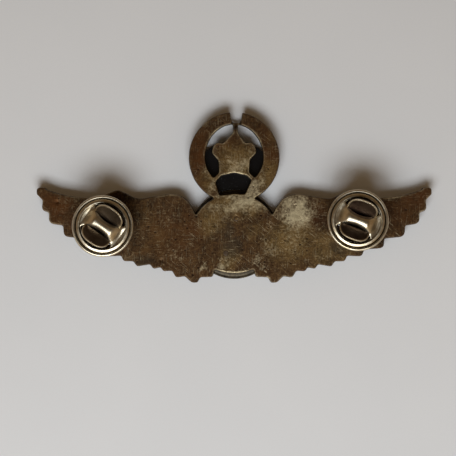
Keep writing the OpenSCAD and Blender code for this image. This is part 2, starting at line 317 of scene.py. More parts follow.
class Graph:
    """A node material with the few calls that the surfaces here need."""

    def __init__(self, name):
        self.material = bpy.data.materials.new(name)
        self.material.use_nodes = True
        self.tree = self.material.node_tree
        self.tree.nodes.clear()
        self.shader = self.add("BsdfPrincipled")
        self.add("OutputMaterial", {0: self.shader.outputs[0]})
        place = self.add("TexCoord").outputs["Object"]
        self.place = self.add("VectorMath", {0: place, "Scale": 1 / MM}, operation="SCALE").outputs[0]

    def add(self, kind, inputs=None, **settings):
        return add_node(self.tree, kind, inputs, **settings)

    def set(self, **values):
        for name, value in values.items():
            connect(self.tree, self.shader.inputs[name.replace("_", " ")], value)

    def math(self, operation, a, b=0.0, c=0.0):
        return self.add("Math", {0: a, 1: b, 2: c}, operation=operation).outputs[0]

    def times(self, a, b):
        return self.math("MULTIPLY", a, b)

    def minus(self, a, b):
        return self.math("SUBTRACT", a, b)

    def most(self, a, b):
        return self.math("MAXIMUM", a, b)

    def total(self, first, *parts):
        """The first value plus each other value times its weight."""
        for value, weight in parts:
            first = self.math("MULTIPLY_ADD", value, weight, first)
        return first

    def ramp(self, value, low, high, to_low=0.0, to_high=1.0):
        ends = {"Value": value, "From Min": low, "From Max": high, "To Min": to_low, "To Max": to_high}
        return self.add("MapRange", ends, interpolation_type="SMOOTHSTEP").outputs["Result"]

    def mix(self, factor, a, b):
        return self.add("Mix", {0: factor, 6: a, 7: b}, data_type="RGBA").outputs[2]

    def coats(self, colour, *coats):
        """The colour under one coat after another, each an amount and a paint."""
        for amount, paint in coats:
            colour = self.mix(amount, colour, paint)
        return colour

    def stretched(self, turn, scale):
        """The place in mm, turned about Z by degrees and scaled along each axis."""
        inputs = {"Vector": self.place, "Rotation": (0, 0, math.radians(turn)),
                  "Scale": [1 / s for s in scale]}
        return self.add("Mapping", inputs, vector_type="TEXTURE").outputs[0]

    def noise(self, scale, detail=4.0, rough=0.55, where=None, twist=0.0):
        return self.add("TexNoise", {"Vector": self.place if where is None else where, "Scale": scale,
                                     "Detail": detail, "Roughness": rough,
                                     "Distortion": twist}).outputs["Fac"]

    def cells(self, scale):
        node = self.add("TexVoronoi", {"Vector": self.place, "Scale": scale})
        return node.outputs["Distance"], node.outputs["Color"]

    def stored(self, name):
        return self.add("Attribute", attribute_name=name).outputs["Fac"]

    def bump(self, height, strength, depth_mm):
        inputs = {"Strength": strength, "Distance": depth_mm * MM, "Height": height}
        return self.add("Bump", inputs).outputs[0]


DARK_BROWN = (0.028, 0.0125, 0.0042)
MID_BROWN = (0.080, 0.039, 0.0140)
GOLD = (0.225, 0.134, 0.044)
RUST = (0.080, 0.028, 0.0060)
OLIVE = (0.145, 0.096, 0.034)
SLATE = (0.042, 0.032, 0.019)
WORN = (0.57, 0.475, 0.290)
# Dark brown of dirt, also used for painted shade and painted shadow
GRIME_AND_SHADE = (0.009, 0.0045, 0.0025)
# Near-black painted shade of the deep hollow behind the wreath's openings, and the dust on it
SHADE_BLACK = (0.0030, 0.0026, 0.0030)
SHADE_BLACK_DUST = (0.03, 0.027, 0.026)
NICKEL = (0.60, 0.53, 0.395)
NICKEL_TARNISH = (0.45, 0.36, 0.225)
NICKEL_SPOT = (0.2, 0.15, 0.1)
# Painted shade on the ears' faces, inside the cup, on the cup's rolled rim and on the cap's rim
NICKEL_SHADE = (0.036, 0.021, 0.016)
MEDAL_DARK = (0.026, 0.019, 0.011)
MEDAL_LIGHT = (0.085, 0.065, 0.036)
MEDAL_RUBBED = (0.46, 0.40, 0.28)
MEDAL_SCRATCH = (0.42, 0.38, 0.27)
PAPER = (0.695, 0.700, 0.700)
PAPER_CLOUD = (0.715, 0.718, 0.716)
PAPER_FIBRE = (0.668, 0.672, 0.672)
# Plain metals: dark and light colour, roughness, metallic share, noise scale, bump depth in mm
METALS = {
    "rivet_metal": ((0.030, 0.018, 0.010), (0.085, 0.054, 0.028), 0.42, 0.6, 2.0, 0.02),
    "post_brass": ((0.42, 0.33, 0.18), (0.66, 0.55, 0.34), 0.24, 1.0, 3.0, 0.02),
    "solder_tin": ((0.22, 0.21, 0.19), (0.45, 0.44, 0.41), 0.38, 0.9, 1.6, 0.06),
    "spring_wire": ((0.32, 0.31, 0.29), (0.55, 0.53, 0.49), 0.26, 1.0, 2.5, 0.02),
}


def scratches(g, turn, fine, long, cut):
    """Thin straight marks along one direction, 0 to 1."""
    streaks = g.noise(1.0, 2.0, 0.5, g.stretched(turn, (long, fine, 1)), 0.15)
    places = g.noise(0.22, 2.0, 0.5, g.stretched(turn + 37, (1, 1, 1)))
    return g.times(g.ramp(streaks, cut, cut + 0.07), g.ramp(places, 0.42, 0.6))


def all_scratches(g, join, *kinds):
    """Several directions of scratches joined by one operation, ADD or MAXIMUM."""
    lines = scratches(g, *kinds[0])
    for kind in kinds[1:]:
        lines = g.math(join, lines, scratches(g, *kind))
    return lines


def stained(g, colour, mottle, grain):
    """The colour under the stains and the painted shade whose places are kept with the mesh."""
    rust, olive = g.stored("rust"), g.stored("olive")
    gold = g.times(g.ramp(grain, 0.44, 0.78), g.ramp(mottle, 0.32, 0.68, 0.2, 0.46))
    gold = g.times(gold, g.ramp(rust, 0.0, 0.8, 1.0, 0.3))
    gold = g.total(gold, (olive, g.ramp(mottle, 0.35, 0.62, 0.0, 0.5)))
    # The dark coat is partly dirt and partly painted shade: the clutches' painted shadow on the plate, and
    # the walls darkened where the light does not reach them
    return g.coats(colour, (g.times(rust, g.ramp(mottle, 0.3, 0.6, 0.35, 0.95)), RUST),
                   (g.times(olive, g.ramp(grain, 0.32, 0.62, 0.15, 1.0)), OLIVE),
                   (g.math("MINIMUM", gold, 0.9), GOLD),
                   (g.times(g.stored("grime_and_shade"), g.ramp(grain, 0.25, 0.6, 1.0, 0.65)), GRIME_AND_SHADE),
                   (g.stored("slate"), SLATE))


def patina_material():
    """Old dark brown patina over brass: worn pale where it rubs, with scratches and pits, painted shade in
    the dark coat and a painted highlight along the cut edges.
    """
    g = Graph("plate_patina")
    mottle, grain, dust = g.noise(0.5, 5.0, 0.62), g.noise(2.6, 5.0, 0.72), g.noise(7.0, 4.0, 0.65)
    brushed = g.noise(1.0, 3.0, 0.6, g.stretched(87, (0.45, 5.0, 1)))
    wiped = g.noise(1.0, 3.0, 0.6, g.stretched(3, (0.4, 4.4, 1)))
    tone = g.total(g.times(mottle, 0.55), (brushed, 0.45), (wiped, 0.25), (grain, 0.45))
    colour = g.mix(g.ramp(tone, 0.64, 1.04), DARK_BROWN, MID_BROWN)
    lines = all_scratches(g, "ADD", (4, 9, 0.5, 0.62), (88, 8, 0.45, 0.60), (-40, 7, 0.4, 0.63),
                          (52, 8, 0.5, 0.65))
    lines = g.math("MINIMUM", lines, 1.0)
    speck = g.minus(g.total(g.times(grain, 0.6), (g.noise(1.5, 4.0, 0.7), 0.55)), 0.575)
    rubbed = g.ramp(g.total(g.stored("worn"), (speck, 2.5)), 0.14, 1.3)
    gaps, tint = g.cells(0.9)
    pits = g.times(g.ramp(gaps, 0.22, 0.10), g.ramp(tint, 0.6, 0.68))
    # Painted highlight and wear along the cut edges, in the pale worn colour
    bright = g.times(g.stored("edge"), g.ramp(g.noise(1.6, 3.0), 0.34, 0.52, 0.15, 1.0))
    colour = g.coats(stained(g, colour, mottle, grain), (g.times(rubbed, 0.95), WORN),
                     (g.times(lines, 0.26), WORN), (g.times(pits, 0.8), GRIME_AND_SHADE),
                     (g.ramp(dust, 0.5, 0.78, 0.0, 0.4), GRIME_AND_SHADE), (bright, WORN))
    height = g.total(g.times(mottle, 0.8), (grain, 0.9), (dust, 0.25), (brushed, 0.35))
    height = g.minus(g.minus(height, g.times(lines, 0.35)), pits)
    barbs = g.times(g.math("SINE", g.stored("barb_phase")), g.stored("barb_depth"))
    polish = g.most(rubbed, g.most(bright, lines))
    g.set(Base_Color=colour, Metallic=g.ramp(polish, 0.0, 1.0, 0.88, 0.85),
          Roughness=g.ramp(polish, 0.0, 1.0, 0.50, 0.42),
          Normal=g.bump(g.total(height, (barbs, 0.5)), 0.5, 0.09))
    return g.material


def ground_shade_material():
    """Near-black painted shade with a little dust, on the ground behind the wreath's openings, where the
    hollow lies in deep shade.
    """
    g = Graph("ground_painted_shade")
    dust, grain = g.ramp(g.noise(2.0, 4.0, 0.7), 0.56, 0.8), g.noise(5.0, 3.0)
    colour = g.mix(g.times(dust, 0.12), SHADE_BLACK, SHADE_BLACK_DUST)
    g.set(Base_Color=colour, Roughness=g.ramp(dust, 0.0, 1.0, 0.22, 0.5), Normal=g.bump(grain, 0.15, 0.03))
    return g.material


def nickel_material():
    """Polished nickel plate with a warm tarnish, painted shade on the ears' faces and in the hollows, and a
    few handling marks.
    """
    g = Graph("clutch_nickel")
    tarnish = g.ramp(g.noise(0.7, 4.0, 0.6), 0.42, 0.75)
    spots = g.ramp(g.noise(5.0, 4.0, 0.7), 0.66, 0.78)
    # Painted shade where it is stored, a little stronger where the tarnish is
    shaded = g.times(g.stored("painted_shade"), g.ramp(tarnish, 0.0, 1.0, 0.96, 1.0))
    colour = g.coats(g.mix(tarnish, NICKEL, NICKEL_TARNISH), (g.times(spots, 0.35), NICKEL_SPOT),
                     (shaded, NICKEL_SHADE))
    lines = all_scratches(g, "MAXIMUM", (20, 14, 0.7, 0.62), (-55, 12, 0.6, 0.62))
    height = g.minus(g.noise(0.5, 1.0, 0.4), g.times(lines, 0.03))
    rough = g.total(g.ramp(g.noise(1.6, 3.0), 0.3, 0.75, 0.28, 0.38), (shaded, 0.05))
    g.set(Base_Color=colour, Metallic=1.0, Roughness=rough, Normal=g.bump(height, 0.15, 0.05))
    return g.material


def plain_metal(name):
    """Aged metal with mottled colour and a fine grain."""
    dark, light, rough, metallic, size, depth_mm = METALS[name]
    g = Graph(name)
    mottle, grain = g.noise(size, 5.0, 0.6), g.noise(size * 5, 4.0, 0.65)
    colour = g.mix(g.ramp(mottle, 0.35, 0.68), dark, light)
    colour = g.mix(g.ramp(grain, 0.58, 0.8, 0.0, 0.5), colour, GRIME_AND_SHADE)
    height = g.math("ADD", mottle, g.times(grain, 0.4))
    g.set(Base_Color=colour, Metallic=metallic, Roughness=g.ramp(mottle, 0.3, 0.7, rough, rough + 0.14),
          Normal=g.bump(height, 0.5, depth_mm))
    return g.material


def medal_material():
    """Olive brown patina with the high points rubbed bright."""
    g = Graph("medal_patina")
    mottle, grain = g.noise(0.9, 5.0, 0.62), g.noise(4.2, 4.0, 0.7)
    rubbed = g.ramp(g.total(g.stored("high"), (g.minus(grain, 0.5), 1.1)), 0.45, 0.95)
    lines = all_scratches(g, "ADD", (15, 9, 0.5, 0.62), (-60, 8, 0.5, 0.62))
    colour = g.coats(g.mix(g.ramp(mottle, 0.35, 0.66), MEDAL_DARK, MEDAL_LIGHT),
                     (g.times(rubbed, 0.85), MEDAL_RUBBED), (g.times(lines, 0.25), MEDAL_SCRATCH))
    height = g.total(g.times(mottle, 0.5), (grain, 0.6))
    g.set(Base_Color=colour, Metallic=g.ramp(rubbed, 0.0, 1.0, 0.6, 0.85),
          Roughness=g.ramp(rubbed, 0.0, 1.0, 0.5, 0.36), Normal=g.bump(height, 0.5, 0.06))
    return g.material


def paper_material():
    g = Graph("floor_paper")
    cloud, fibre = g.noise(0.03, 3.0, 0.5), g.noise(3.0, 5.0, 0.7)
    colour = g.mix(g.ramp(cloud, 0.3, 0.7), PAPER, PAPER_CLOUD)
    colour = g.mix(g.ramp(fibre, 0.35, 0.75, 0.0, 0.35), colour, PAPER_FIBRE)
    g.set(Base_Color=colour, Roughness=0.85, Normal=g.bump(fibre, 0.25, 0.04))
    return g.material


# ---- the plate's back ----

# Each patch: x, y, half widths along x and y, strength
WORN_PATCHES = [
    (3.7, 1.7, 1.6, 2.8, 0.8), (2.2, -0.9, 3.0, 2.0, 0.98), (0.4, -1.9, 3.4, 1.9, 0.78),
    (4.9, -1.9, 1.6, 1.2, 0.55), (-3.0, -2.6, 2.6, 1.8, 0.45), (-0.8, 0.1, 3.0, 0.8, 0.6),
    (12.3, -3.2, 3.8, 3.7, 0.92), (10.6, -1.9, 2.6, 2.2, 0.8), (9.4, -3.6, 1.9, 1.5, 0.56),
    (11.8, -6.4, 3.2, 2.2, 0.42), (10.8, -9.2, 2.6, 2.0, 0.28), (16.2, -6.6, 1.8, 2.2, 0.22),
    (-2.2, -12.9, 1.9, 1.1, 0.6), (-1.0, -11.9, 1.4, 0.9, 0.4), (5.6, -8.3, 1.2, 1.4, 0.34),
    (0.6, 6.2, 3.0, 2.0, 0.62), (3.0, 8.6, 1.0, 1.4, 0.36), (5.3, 3.6, 1.6, 1.6, 0.52),
    (-4.2, 2.2, 1.2, 1.6, 0.45), (-4.9, 4.6, 0.9, 1.2, 0.32), (4.6, -11.6, 1.1, 0.8, 0.42),
    (5.6, -13.6, 1.4, 0.8, 0.38), (-5.9, -13.4, 0.8, 1.3, 0.38), (-12.6, -3.3, 2.6, 2.4, 0.24),
    (-11.5, -10.5, 2.4, 1.6, 0.24), (7.2, -10.4, 1.8, 1.2, 0.34), (-30.6, -0.8, 1.6, 0.5, 0.3),
    (30.4, -0.3, 2.0, 0.5, 0.4), (-20.5, -11.0, 1.6, 0.7, 0.22), (17.6, -11.3, 2.0, 1.0, 0.24),
]
RUST_PATCHES = [
    (-34.3, -2.0, 4.0, 3.0, 0.9), (35.3, -0.2, 3.2, 2.6, 0.8), (-6.8, 8.2, 2.4, 7.0, 0.85),
    (6.8, 9.2, 2.4, 6.2, 0.72), (-2.0, 10.2, 2.2, 2.4, 0.8), (-8.0, -6.0, 2.6, 4.0, 0.55),
    (16.0, -3.4, 2.0, 2.6, 0.85), (-29.0, -4.0, 5.0, 4.0, 0.4), (32.0, -3.0, 4.0, 3.0, 0.5),
    (-13.0, -7.5, 5.0, 5.0, 0.5), (6.8, -5.6, 1.6, 2.2, 0.4), (2.0, 10.4, 1.6, 1.8, 0.45),
]
OLIVE_PATCHES = [
    (0.6, 6.8, 4.2, 3.6, 1.0), (0.4, -1.6, 5.5, 2.4, 0.8), (6.2, 4.2, 2.4, 3.0, 0.8),
    (-4.8, 3.4, 2.0, 2.2, 0.6),
    (10.5, -8.5, 5.0, 4.5, 0.75), (-4.6, -4.4, 2.6, 3.0, 0.65), (17.5, -10.0, 4.5, 3.5, 0.6),
    (-15.0, -8.0, 4.0, 3.4, 0.12), (-1.2, -12.0, 2.0, 2.4, 0.6), (7.2, 12.0, 1.2, 3.0, 0.3),
    (1.6, 7.8, 2.4, 2.2, 0.7), (-17.2, -3.6, 2.0, 3.4, 0.12), (4.0, -6.4, 2.6, 1.6, 0.3),
]
SLATE_PATCHES = [
    (-1.2, -6.4, 1.4, 3.6, 0.45), (-0.8, -9.6, 2.0, 2.4, 0.5), (19.8, -9.6, 2.2, 1.6, 0.5),
    (-17.6, -12.0, 2.2, 1.0, 0.4), (24.5, -10.2, 3.0, 1.2, 0.4),
]
# Dark dirt, and painted shadow of the clutches on the plate beside and above them
GRIME_AND_SHADOW_PATCHES = [
    (0.6, -9.4, 0.9, 0.8, 0.6), (-27.4, -10.6, 2.6, 0.9, 0.8), (29.8, -8.8, 2.4, 0.9, 0.8),
    (29.6, -4.6, 1.1, 3.4, 0.45),
    (-19.0, -5.6, 1.7, 4.6, 0.62), (16.6, -5.0, 1.3, 3.6, 0.5), (-20.2, 0.5, 2.6, 1.5, 1.0),
    (-30.6, -7.6, 1.6, 1.0, 0.6), (23.5, 1.0, 2.6, 0.8, 0.6), (30.6, -4.6, 1.4, 3.0, 0.35),
    (-16.4, -12.4, 1.6, 0.6, 0.6), (-22.5, -11.0, 1.5, 0.6, 0.6), (6.0, -2.8, 1.0, 1.6, 0.25),
    (3.2, -4.4, 2.0, 1.2, 0.22), (-31.4, -3.0, 0.9, 3.0, 0.3),
]
# Where a cut edge of the back is painted bright: worn, and a painted highlight where the edge catches the
# light
EDGE_WEAR_AND_GLINT_PATCHES = [
    (0.0, 8.4, 5.6, 5.6, 0.95), (0.0, 4.5, 4.2, 1.6, 1.2), (-4.2, 11.4, 2.6, 2.8, 0.9),
    (4.4, 11.2, 2.2, 2.6, 0.5), (0.0, -14.3, 5.4, 1.2, 1.1), (-12.6, 0.4, 3.4, 1.0, 0.6),
    (11.6, 0.6, 3.0, 1.2, 0.9),
    (30.7, 0.4, 3.0, 0.9, 0.9), (-29.0, 0.2, 5.0, 0.9, 0.5), (5.2, -1.2, 2.4, 2.2, 0.9),
    (-6.4, -1.6, 2.0, 2.4, 0.6), (0.0, 0.8, 3.6, 1.0, 1.1), (7.8, -2.4, 0.9, 2.0, 0.6),
    (-35.5, -3.0, 2.4, 3.4, 0.5), (36.0, -1.0, 2.6, 3.4, 0.5), (8.6, -15.4, 4.0, 0.9, 0.4),
]
# Strokes rubbed into the patina: from x, y to x, y, half width, strength
STROKES = [
    (5.1, -7.9, 8.3, -10.7, 0.10, 0.55), (5.9, -7.6, 8.2, -9.9, 0.07, 0.4),
    (5.2, -8.9, 7.4, -11.0, 0.06, 0.4), (3.9, -12.6, 6.2, -14.4, 0.12, 0.75),
    (4.4, -12.3, 6.6, -13.9, 0.08, 0.6), (4.9, -12.2, 6.9, -13.5, 0.06, 0.45),
    (-5.8, -5.8, -5.7, -11.3, 0.07, 0.4), (-5.3, -8.0, -3.0, -7.9, 0.06, 0.36),
    (-6.6, -14.2, -5.6, -12.6, 0.12, 0.55), (-5.9, -13.7, -5.2, -12.3, 0.07, 0.45),
    (10.2, -6.6, 13.8, -6.7, 0.06, 0.34), (10.4, -7.4, 13.4, -7.5, 0.06, 0.36),
    (9.9, -8.2, 13.9, -8.3, 0.06, 0.3), (10.9, -9.2, 13.7, -9.3, 0.07, 0.34),
    (-0.6, -5.2, -0.9, -7.6, 0.07, 0.3), (7.3, 8.8, 7.5, 3.9, 0.08, 0.3), (2.1, 8.6, 2.2, 5.4, 0.07, 0.4),
    (-12.5, -6.2, -9.2, -7.4, 0.06, 0.3), (-17.5, -9.6, -14.2, -9.2, 0.06, 0.26),
    (-13.0, -8.9, -12.3, -11.2, 0.07, 0.36), (-10.6, -3.2, -10.4, -6.2, 0.06, 0.3),
    (-8.2, -3.6, -8.1, -5.2, 0.07, 0.36), (-1.6, -12.2, -0.9, -13.4, 0.08, 0.5),
]
# Dents in the back: x, y, radius, depth
DENTS = [
    (-34.0, -0.9, 0.42, 0.14), (-14.0, -12.1, 0.4, 0.12), (11.6, -1.5, 0.3, 0.12),
    (-33.0, -3.2, 0.3, 0.06), (13.2, -2.0, 0.25, 0.06), (9.4, -3.9, 0.22, 0.06),
]
# The star's neck and the floor of the notch above it are struck lower
NECK_X = 0.4
NECK_Y = 13.3
NECK_DROP = 1.75
NECK_HALF = 0.82
BACK_EDGE_R = 0.12
EDGE_ANGLES = (22.5, 45, 67.5, 90)
# Unevenness of the back: depth, size, seed
BACK_WAVES = ((0.035, 4.5, 11), (0.018, 1.3, 12))
RIVET_RING_R = 0.52
PATCH_DRIFT = 1.5


def patches(x, y, items):
    """Soft ragged patches, 0 to 1."""
    x = x + PATCH_DRIFT * (noise(x, y, 1.6, 44) - 0.5)
    y = y + PATCH_DRIFT * (noise(x, y, 1.6, 45) - 0.5)
    total = np.zeros(len(x))
    for px, py, rx, ry, strength in items:
        gap = np.hypot((x - px) / rx, (y - py) / ry)
        total = np.maximum(total, strength * (1 - smoothstep(gap, 0.15, 1.45)))
    return total


def strokes(x, y, items):
    total = np.zeros(len(x))
    for x0, y0, x1, y1, half, strength in items:
        dx, dy = x1 - x0, y1 - y0
        t = np.clip(((x - x0) * dx + (y - y0) * dy) / (dx * dx + dy * dy), 0, 1)
        gap = np.hypot(x - x0 - t * dx, y - y0 - t * dy)
        total = np.maximum(total, strength * (1 - smoothstep(gap, 0.4 * half, 1.6 * half)))
    return total


def rounded_drop(gap, radius):
    """How far a rounded edge lies below the flat at this distance from it."""
    inner = np.clip(radius - gap, 0, radius)
    return radius - np.sqrt(radius * radius - inner * inner)


def back_height(x, y, gap):
    z = BACK_Z - 0.02 - rounded_drop(gap, BACK_EDGE_R)
    for depth, size, seed in BACK_WAVES:
        z -= depth * noise(x, y, size, seed)
    for px, py, radius, depth in DENTS:
        near = np.hypot(x - px, y - py) / radius
        z -= depth * np.exp(-near ** 2 * 2)
    for which in RIVETS:
        px, py, _ = middle(f"{which}_rivet")
        z -= 0.06 * np.exp(-((np.hypot(x - px, y - py) - RIVET_RING_R) / 0.09) ** 2)
    beside = smoothstep(np.abs(x - NECK_X), NECK_HALF - 0.1, NECK_HALF + 0.1)
    return z - NECK_DROP * smoothstep(y, NECK_Y - 0.35, NECK_Y + 0.35) * (1 - beside)


# ---- the plate's front ----

# Lines between feathers on a wing: from a root above the wing to a notch in its edge
FEATHER_LINES = [
    ((6.0, 1.0), (3.7, -13.9)), ((8.0, 1.0), (6.5, -15.4)), ((9.8, 1.2), (9.5, -15.2)),
    ((11.4, 1.5), (12.0, -14.15)), ((12.9, 1.8), (14.2, -13.5)), ((14.3, 2.0), (16.2, -12.9)),
    ((15.9, 2.2), (19.4, -12.35)), ((17.3, 2.4), (21.8, -11.25)), ((18.9, 2.7), (25.1, -10.05)),
    ((20.6, 3.0), (28.95, -7.95)), ((22.4, 3.3), (33.0, -5.45)), ((24.4, 3.6), (35.75, -2.9)),
    ((26.5, 3.7), (36.95, -0.55)), ((28.5, 3.6), (37.6, 2.4)),
]
# Rows of shorter feathers: their lower edge by x, feathers per long feather, height, tip length
COVERT_EDGE = [(6, -11.2), (13, -10.6), (18, -9.3), (23, -7.4), (28, -5.0), (32.5, -2.4), (36, 0.2)]
SCAPULAR_EDGE = [(6, -8.4), (12, -7.6), (17.5, -5.9), (22.4, -3.6), (28, -2.2), (34, 0.4)]
ARM_EDGE = [(6, -5.2), (9, -3.6), (12.2, -2.4), (15.6, -2.8), (18.5, -3.1), (22.5, -1.2), (27, -1.3),
            (33, 0.1)]
FEATHER_ROWS = [(COVERT_EDGE, 1, 0.80, 1.3), (SCAPULAR_EDGE, 1.5, 0.56, 1.0), (ARM_EDGE, 2, 0.36, 0.7)]
RELIEF_LOW = 0.06
FRONT_EDGE_R = 0.28
# Laurel leaves: distance from one to the next, length in such distances, and rows of leaves
# (place across the ring, lean, shift along it)
LEAF_PITCH = 1.55
LEAF_LENGTH = 1.9
LEAF_ROWS = ((0, 0, 0), (0.12, 0.62, 0.5), (-0.12, -0.62, 0.5))
STAR_Y = 8.1
STAR_R = (5.2, 2.9)
# Where the front's parts end: the ring's foot, sides and shoulders, the star, its legs and the disc
RING_FOOT_Y = -0.9
RING_SIDE_X = 8.9
SHOULDER = (6.4, 2.2)
STAR_LOW_Y = 4
LEG_LOW_Y = 2.4
DISC_X = 7.3
DISC_TOP_Y = 0.9
DISC_R = 9.3


def feather_number(x, y):
    """Counts long feathers outwards from the middle, with the share of the way across as its fraction."""
    sides = []
    for (rx, ry), (nx, ny) in FEATHER_LINES:
        dx, dy = nx - rx, ny - ry
        sides.append(((x - rx) * -dy + (y - ry) * dx) / math.hypot(dx, dy))
    sides = np.array(sides)
    count = np.clip((sides > 0).sum(0) - 1, 0, len(sides) - 2)
    inner = np.take_along_axis(sides, count[None], 0)[0]
    outer = np.take_along_axis(sides, count[None] + 1, 0)[0]
    return count + np.clip(inner / np.maximum(inner - outer, 1e-6), 0, 0.999)


def crown(t):
    """Rounded section of a feather that overlaps its outer neighbour."""
    return np.sin(np.pi * np.clip(t, 0, 1)) ** 0.55 * (1.05 - 0.3 * t)


def shaft(t, width=0.07):
    return np.exp(-((t - 0.5) / width) ** 2)


def wing_front(x, y):
    number = feather_number(x, y)
    across = number % 1
    z = FRONT_Z + 0.12 - 0.42 * crown(across) - 0.07 * shaft(across)
    phase, depth = barb_pattern(y, across, 3.2), np.ones(len(x))
    for edge, per, height, reach in FEATHER_ROWS:
        t = (number * per + 0.5) % 1
        tip = np.interp(x, *zip(*edge)) - reach * np.sin(np.pi * t) ** 0.7
        above = y - tip
        cover = smoothstep(above, 0, 0.28)
        row = height - 0.2 * crown(t) - 0.05 * shaft(t, 0.09) + 0.035 * np.clip(above, 0, 3)
        z = z * (1 - cover) + np.minimum(z, row) * cover
        phase = np.where(cover > 0.5, barb_pattern(y, t, 4.0), phase)
    return z, phase, depth


def barb_pattern(y, across, rate):
    return TAU * (y * rate * 0.55 + np.abs(across - 0.5) * 2.6)


def leaf(along, across, lean):
    """Height of a laurel leaf: along runs 0 to 1 from its base, across is measured from its midrib."""
    t = np.clip(along, 0, 1)
    half = 0.40 * np.sin(np.pi * t ** 0.8) ** 0.8 + 1e-3
    side = (across - lean * t) / half
    body = np.sqrt(np.clip(1 - side * side, 0, 1)) * (0.5 + 0.5 * np.sin(np.pi * t))
    return np.where((along > 0) & (along < 1), body - 0.25 * np.exp(-(side / 0.16) ** 2), 0)


def wreath_front(x, y):
    """Laurel leaves that climb both sides of the ring from the bottom."""
    up = y - WREATH_Y
    along = np.abs(np.arctan2(x, -up)) * WREATH_MID_R / LEAF_PITCH
    across = (np.hypot(x, up) - WREATH_MID_R) / WREATH_HALF
    height = np.zeros(len(x))
    for base, lean, shift in LEAF_ROWS:
        for back in (0, 1):
            part = ((along + shift) % 1 + back) / LEAF_LENGTH
            height = np.maximum(height, leaf(part, across - base, lean) * (0.85 if lean else 1))
    swell = np.sqrt(np.clip(1 - (across * 0.85) ** 2, 0, 1))
    return FRONT_Z + 0.1 - 0.5 * swell - 0.34 * height


def star_reach(angle, tips, outer, inner):
    """Distance from a star's middle to its outline, at each angle from one of its tips."""
    half = TAU / (2 * tips)
    turn = (1 - np.abs((angle / half) % 2 - 1)) * half
    along, rise = inner * math.cos(half) - outer, inner * math.sin(half)
    return np.abs(outer * rise / (np.cos(turn) * rise - np.sin(turn) * along))


def star_front(x, y):
    """A five-pointed star with a ridge to each point."""
    share = np.hypot(x, y - STAR_Y) / star_reach(np.arctan2(x, y - STAR_Y), 5, *STAR_R)
    return FRONT_Z - 0.05 - 0.72 * np.clip(1 - share, 0, 1)


def front_height(x, y, gap):
    """Height of the front, with the barbs' phase and depth."""
    side = np.abs(x)
    z, phase, depth = wing_front(side, y)
    radius = np.hypot(x, y - WREATH_Y)
    medal = np.hypot(x - MEDAL_AT[0], y - MEDAL_AT[1])
    ring = (radius > WREATH_HOLE_R - 0.1) & (y > RING_FOOT_Y) & (side < RING_SIDE_X)
    ring &= ~((side > SHOULDER[0]) & (y < SHOULDER[1]))
    star = (radius < WREATH_HOLE_R - 0.1) & (y > STAR_LOW_Y)
    leg = (radius < WREATH_HOLE_R + 0.2) & (y > LEG_LOW_Y) & ~star
    disc = (side < DISC_X) & (y < DISC_TOP_Y) & ~ring & (medal < DISC_R)
    for part, height in ((disc, FRONT_Z - 0.1 - 0.25 * np.cos(medal * 6.5)), (ring, wreath_front(x, y)),
                         (star, star_front(x, y)), (leg, FRONT_Z - 0.25),
                         (medal < MEDAL_R + MEDAL_GAP, FRONT_Z + 0.05)):
        z, depth = np.where(part, height, z), np.where(part, 0, depth)
    z += rounded_drop(gap, FRONT_EDGE_R) + 0.02 * noise(x, y, 0.9, 21)
    return np.clip(z, RELIEF_LOW, BACK_Z - 0.6), phase, depth


# ---- the plate ----

PLATE_STEP = 0.22
RIM_STEP = 0.15
WALL_ROWS = (0.2, 0.5, 0.8)
# How far the plate's edge stands out towards the front, beyond the edge of the back
WALL_FLARE = 0.13
# Half width of the bright line painted along the back's edges, wear and painted highlight
RIM_WEAR_AND_GLINT_LINE = 0.14
GROUND_AT = (0, 2.6)
GROUND_R = 8.4
GROUND_Z = (0.72, 1.24)
GROUND_STEP = 0.3
GROUND_LIMIT_R = WREATH_OUTER_R - 0.8


def make_plate(material, shade_black):
    """The struck plate: flat worn back, rough edge and feathered front, as one closed mesh."""
    loops = [soften(even(p, RIM_STEP), 2) for p in back_loops()]
    loops = [p + inward(p) * WALL_FLARE for p in loops]
    rows = [BACK_EDGE_R * (1 - math.cos(math.radians(a))) for a in EDGE_ANGLES]
    flat, gap, triangles, rim = fill(loops, PLATE_STEP, rows)
    count = len(flat)
    x, y = flat.T
    top = back_height(x, y, gap)
    low, phase, depth = front_height(x, y, gap)
    layers = [np.column_stack([flat, top]), np.column_stack([flat, low])]
    normals = np.vstack([inward(p) for p in loops])
    for share in WALL_ROWS:
        out = WALL_FLARE * min(1, 3 * share) - 0.01 - 0.05 * noise(x[:rim] + 40 * share, y[:rim], 0.7, 31)
        edge = flat[:rim] - normals * out[:, None]
        layers.append(np.column_stack([edge, top[:rim] * (1 - share) + low[:rim] * share]))
    starts = [0] + [2 * count + k * rim for k in range(len(WALL_ROWS))] + [count]
    faces = triangles + underside(triangles, count) + wall_faces(starts, loops)
    first, own = sum(len(layer) for layer in layers), len(faces)
    ground, ground_faces, black = ground_mesh()
    faces += [tuple(first + i for i in f) for f in ground_faces]
    points = np.vstack(layers + [ground])
    obj = make_piece("plate_metal", points, faces, "badge", material, "wing_plate")
    # The ground's top faces take the near-black painted shade
    obj.data.materials.append(shade_black)
    for polygon in obj.data.polygons[own:own + black]:
        polygon.material_index = 1
    paint_plate(obj, points, count, gap, phase, depth)


